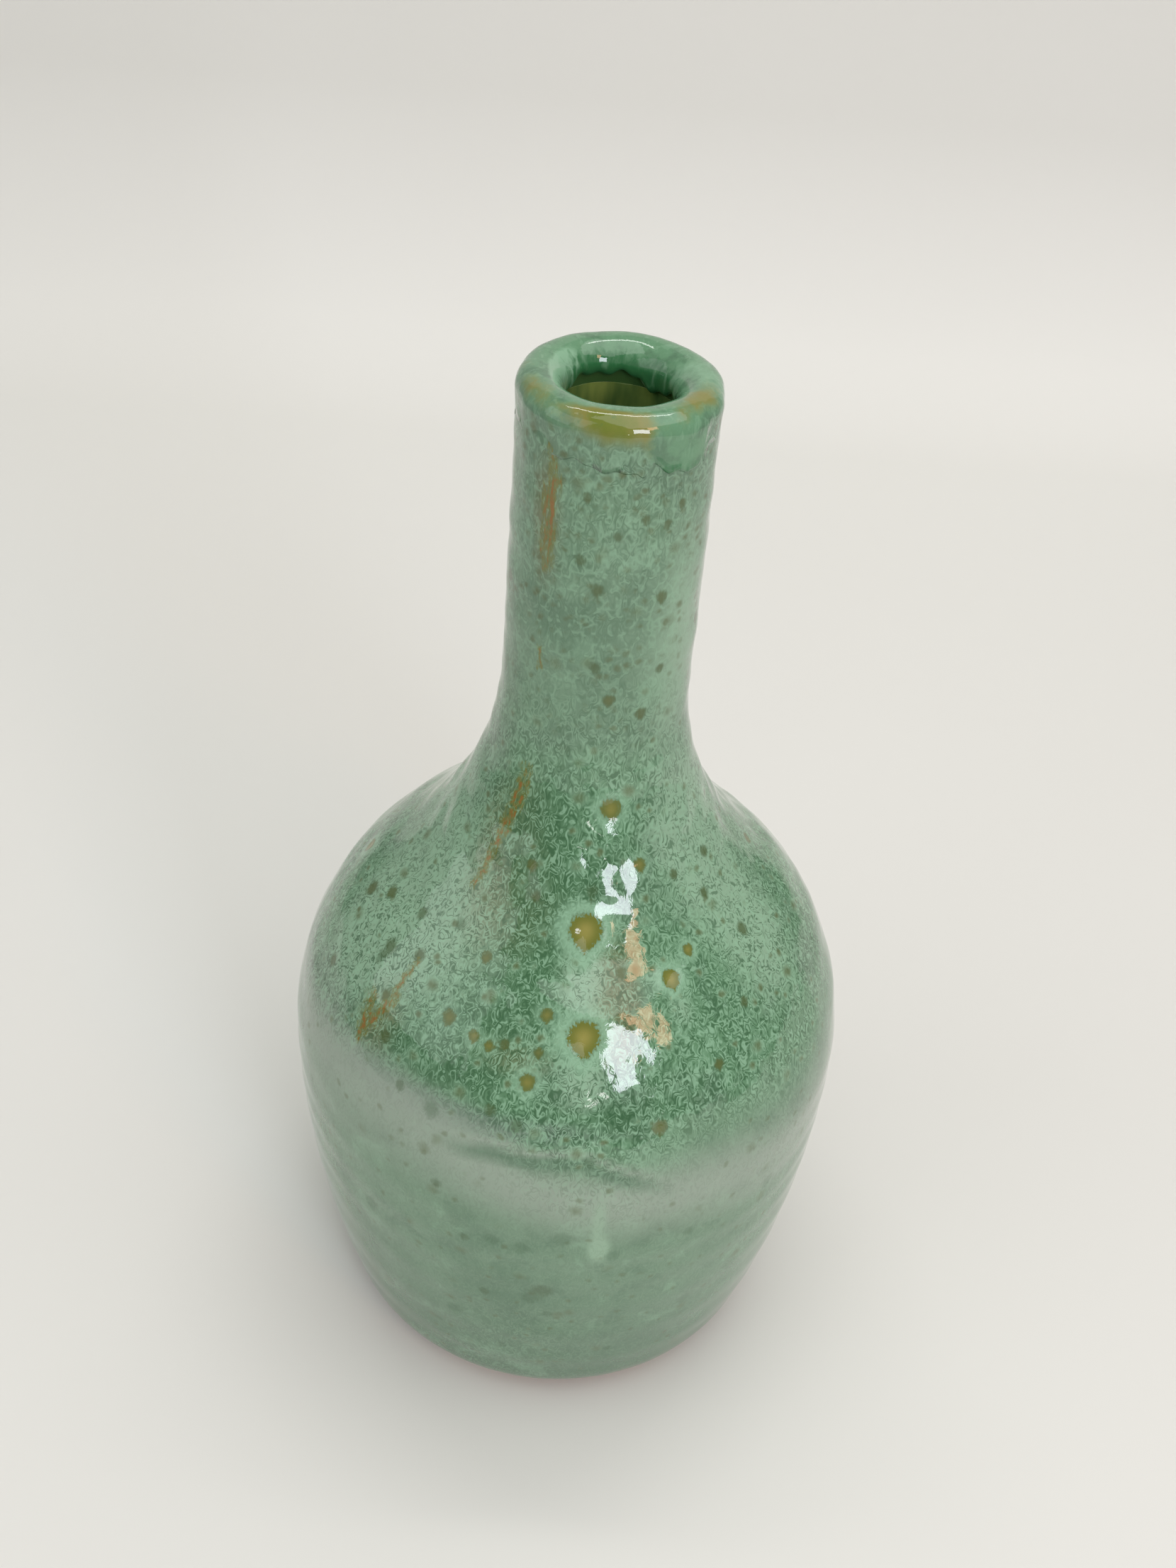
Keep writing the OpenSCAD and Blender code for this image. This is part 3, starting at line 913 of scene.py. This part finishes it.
class DipAmber(bpy.types.Operator):
    """Amber coat: a thin shell on the clay that shows at the heel, under the green, and in the throat."""

    bl_idname = "bottle.dip_amber"
    bl_label = "Amber glaze"

    def execute(self, context):
        shape, marks, look = settings(context)
        path = outside(shape)
        turn = turns(240)
        start = path.bare + 0.25 * MM * np.sin(5 * turn + 1)
        along = coat_rows(start, path.throat + 0 * turn, 150)
        coats = shape.base_coat + shape.green_coat
        thick = bead(along - start, 0.8 * MM, shape.base_coat)
        piece = shell("amber_glaze_coat", marks, path, along, turn, coats - thick, coats)
        place(piece, "base_glaze", amber_glaze(look))
        return {"FINISHED"}


class DipGreen(bpy.types.Operator):
    """Green coat: a shell with a beaded, wavy edge at the heel and a ragged one in the throat. Its face
    carries the relief and the distances that its material reads."""

    bl_idname = "bottle.dip_green"
    bl_label = "Green glaze"

    def execute(self, context):
        shape, marks, look = settings(context)
        path = outside(shape)
        turn = turns(420)
        start = path.bare + 0.5 * MM + 0.35 * MM * np.sin(4 * turn) + 0.25 * MM * np.sin(9 * turn + 2)
        end = path.throat - 0.4 * MM + ragged_end(turn)
        along = coat_rows(start, end, 200)
        points = skin(marks, path, along, turn, 0.0)
        z = read(path, along)[1]
        thick = np.minimum(bead(along - start, 1.2 * MM, shape.green_coat),
                           bead(end - along, 0.8 * MM, shape.green_coat))
        relief = green_relief(marks, path, along, turn, points) * smooth(0, 4 * MM, along - start)
        relief *= 1 - smooth(156 * MM, 161 * MM, z) * 0.8
        offset, _, clear = bubbles(path, along, turn)
        apart = np.hypot(offset[..., 0], offset[..., 1])
        fields = {"offset": np.concatenate([offset, 0 * offset[..., :1]], axis=-1), "apart": apart,
                  "clear": clear, "rust": rust_streaks(path, along, turn), **zones(points)}
        piece = shell("green_glaze_coat", marks, path, along, turn, shape.green_coat - thick,
                      shape.green_coat, fields, relief)
        place(piece, "green_glaze", green_glaze(look))
        return {"FINISHED"}


def ragged_end(turn):
    """How much further down the throat the outside coats reach at each turn: tongues of uneven length."""
    tongues = 0.7 * np.sin(3 * turn + 0.5) + 0.4 * np.sin(7 * turn + 2) + 0.25 * np.sin(17 * turn) - 0.9
    return tongues * MM


class DipMouth(bpy.types.Operator):
    """Extra coat over the mouth: its lower edge waves round the neck and runs down in one thick tongue at
    the front right; its upper end hangs in the throat with the green coat."""

    bl_idname = "bottle.dip_mouth"
    bl_label = "Mouth glaze"

    def execute(self, context):
        shape, marks, look = settings(context)
        path = outside(shape)
        turn = turns(400)
        degrees = np.degrees(turn)
        run = (0.33 * smooth(-28, 10, degrees) + 0.67 * smooth(12, 34, degrees)) * (
            1 - smooth(48, 62, degrees))
        edge = climb(path, shape.height - 2.9 * MM)
        waves = 0.3 * MM * np.sin(5 * turn + 1.2) + 0.25 * MM * np.sin(13 * turn) + 0.15 * MM * np.sin(
            31 * turn + 1)
        soft = 1 - smooth(0.35, 0.6, run)
        start = edge - marks.run_length * run - 3.2 * MM * soft + waves
        end = path.throat - 0.2 * MM + ragged_end(turn + 0.1)
        along = even(start, end, 84)
        width = 0.8 * MM + 6 * MM * soft
        feather = shape.lip_coat * smooth(0, width, along - start)
        thick = soft * feather + (1 - soft) * bead(along - start, width, shape.lip_coat)
        thick = np.minimum(thick, bead(end - along, 1.0 * MM, shape.lip_coat))
        points = skin(marks, path, along, turn, 0.0)
        relief = 0.05 * MM * ripple(points, 6 * MM, 31) * smooth(0, 1.5 * MM, along - start)
        past = (along - path.crest) / MM
        away = np.abs(degrees)
        inner = smooth(1.2, 3.2, past)
        front = np.exp(-((degrees + 4) / 27) ** 2) * smooth(0.6, -1.2, past)
        right = 0.6 * np.exp(-((degrees - 58) / 32) ** 2) * np.exp(-((past + 0.6) / 2.4) ** 2)
        left = 0.5 * np.exp(-((degrees + 66) / 34) ** 2) * np.exp(-((past + 1) / 2.4) ** 2)
        tongue = 0.7 * smooth(0.4, 0.8, run) * np.exp(-(along - start) / (1.4 * MM))
        fields = {
            "amber": np.maximum(front, right) + left,
            "milky": smooth(-40, -70, degrees) * (1 - smooth(-115, -150, degrees)) * smooth(0.5, 2, past)
                     + 0.35 * smooth(60, 85, degrees) * (1 - smooth(110, 140, degrees)),
            "pooled": inner * (0.2 + 0.35 * smooth(95, 140, away)) + 0.6 * np.exp(
                -(end - along) / (1.2 * MM)) + tongue,
            "full": np.clip(thick / shape.lip_coat, 0, 1) * smooth(0, width, along - start),
            **zones(points),
        }
        piece = shell("mouth_glaze_coat", marks, path, along, turn, -thick, 0.0, fields, relief)
        place(piece, "lip_glaze", mouth_glaze(look))
        return {"FINISHED"}


# ---------------------------------------------------------------- stage


def area_light(name, power, width, height, azimuth, elevation, distance, tint):
    """A flat light that faces the bottle: its place is given by its bearing from the front, its height
    angle and its distance."""
    data = bpy.data.lights.new(name, "AREA")
    data.shape, data.size, data.size_y = "RECTANGLE", width, height
    data.energy, data.color = power, tint
    lamp = bpy.data.objects.new(name, data)
    bpy.context.scene.collection.objects.link(lamp)
    a, e = math.radians(azimuth), math.radians(elevation)
    way = Vector((math.sin(a) * math.cos(e), -math.cos(a) * math.cos(e), math.sin(e)))
    lamp.location = Vector((0, 0, 0.08)) + distance * way
    lamp.rotation_euler = way.to_track_quat("Z", "Y").to_euler()


class SetStage(bpy.types.Operator):
    """Stage: a sheet whose profile is a floor, a quarter circle and a wall, carried along X; soft light
    from above, a window to the front right, a dim room, and the camera."""

    bl_idname = "bottle.set_stage"
    bl_label = "Stage"

    def execute(self, context):
        scene, look = context.scene, context.scene.bottle_stage
        bend = arc((look.bend, look.bend_radius), look.bend_radius, -math.pi / 2, 0, steps=48)
        wall_y = look.bend + look.bend_radius
        profile = np.vstack([[[look.front, 0]], bend[:, :2], [[wall_y, look.sheet_height]]])
        across = np.linspace(-look.half_width, look.half_width, 3)
        grid = np.stack([np.broadcast_to(across[None, :], (len(profile), 3)),
                         np.broadcast_to(profile[:, :1], (len(profile), 3)),
                         np.broadcast_to(profile[:, 1:], (len(profile), 3))], axis=-1)
        i, j = np.arange(len(profile) - 1)[:, None], np.arange(2)[None, :]
        quads = np.stack([i * 3 + j, i * 3 + j + 1, (i + 1) * 3 + j + 1, (i + 1) * 3 + j], axis=-1)
        mesh = bpy.data.meshes.new("studio_sheet")
        mesh.from_pydata(grid.reshape(-1, 3).tolist(), [], quads.reshape(-1, 4).tolist())
        mesh.shade_smooth()
        sheet = bpy.data.objects.new("studio_sheet", mesh)
        scene.collection.objects.link(sheet)
        material, paint, at = new_material("paper_sheet")
        mottle = paint("TexNoise", {"Vector": at, "Scale": 8.0, "Detail": 2.0}, out="Fac")
        soft = paint("MapRange", {"Value": mottle, "To Min": 0.0, "To Max": 0.06})
        shade = layered(paint, look.sheet, [(linear("#ffffff"), soft)])
        sheet.data.materials.append(finish(material, paint, shade, mottle, 0.0, Roughness=0.7))

        area_light("ceiling_light", look.ceiling, 1.0, 1.0, 48, 70, 0.85, (1, 0.995, 0.985))
        area_light("ceiling_lamp", look.lamp, 1.3, 0.13, 180, 76, 1.6, (1, 0.99, 0.97))
        area_light("side_card", look.card, 0.9, 0.8, -66, 26, 1.0, (0.97, 0.99, 1))
        area_light("window", look.window, 0.25, 0.34, 27, 20, 1.0, (0.88, 0.9, 1.0))
        area_light("window_frame", look.window * 0.02, 0.05, 0.04, 11, 6, 1.0, (1, 0.98, 0.95))
        area_light("warm_card", look.window * 0.24, 0.16, 0.22, 39, 32, 1.0, (1, 0.52, 0.32))
        world = bpy.data.worlds.new("room")
        world.use_nodes = True
        world.node_tree.nodes["Background"].inputs["Color"].default_value = (1, 0.98, 0.95, 1)
        world.node_tree.nodes["Background"].inputs["Strength"].default_value = look.room
        scene.world = world

        lens = bpy.data.cameras.new("camera")
        lens.sensor_width, lens.lens = 36, look.lens
        camera = bpy.data.objects.new("camera", lens)
        scene.collection.objects.link(camera)
        pose = Matrix.Translation(CAMERA_AT)
        for degrees, axis in CAMERA_TURNS:
            pose = pose @ Matrix.Rotation(math.radians(degrees), 4, axis)
        camera.matrix_world = pose
        scene.camera = camera
        scene.view_settings.view_transform = "Standard"
        return {"FINISHED"}


# ---------------------------------------------------------------- panel and run

PIECES = (ThrowBelly, LuteNeck, PourLiner, DipAmber, DipGreen, DipMouth, SetStage)
GROUPS = {"bottle_shape": BottleShape, "bottle_marks": HandMarks, "bottle_look": GlazeLook,
          "bottle_stage": StageLook}


class BottlePanel(bpy.types.Panel):
    """Lists the pieces in the order in which they are made, and the sizes and colours below them."""

    bl_idname = "VIEW3D_PT_bottle"
    bl_label = "Sake bottle"
    bl_space_type = "VIEW_3D"
    bl_region_type = "UI"
    bl_category = "Bottle"

    def draw(self, context):
        for piece in PIECES:
            self.layout.operator(piece.bl_idname)
        for key, group in GROUPS.items():
            box = self.layout.box()
            for name in group.__annotations__:
                box.prop(getattr(context.scene, key), name)


def register():
    """Registers the groups, the operators and the panel."""
    for item in (*GROUPS.values(), *PIECES, BottlePanel):
        bpy.utils.register_class(item)
    for key, group in GROUPS.items():
        setattr(bpy.types.Scene, key, bpy.props.PointerProperty(type=group))


def unregister():
    """Takes away what register added."""
    for key in GROUPS:
        delattr(bpy.types.Scene, key)
    for item in (BottlePanel, *reversed(PIECES), *reversed(GROUPS.values())):
        bpy.utils.unregister_class(item)


def main():
    """Makes every piece and the stage."""
    register()
    bpy.ops.bottle.throw_belly()
    bpy.ops.bottle.lute_neck()
    bpy.ops.bottle.pour_liner()
    bpy.ops.bottle.dip_amber()
    bpy.ops.bottle.dip_green()
    bpy.ops.bottle.dip_mouth()
    bpy.ops.bottle.set_stage()


if __name__ == "__main__":
    main()
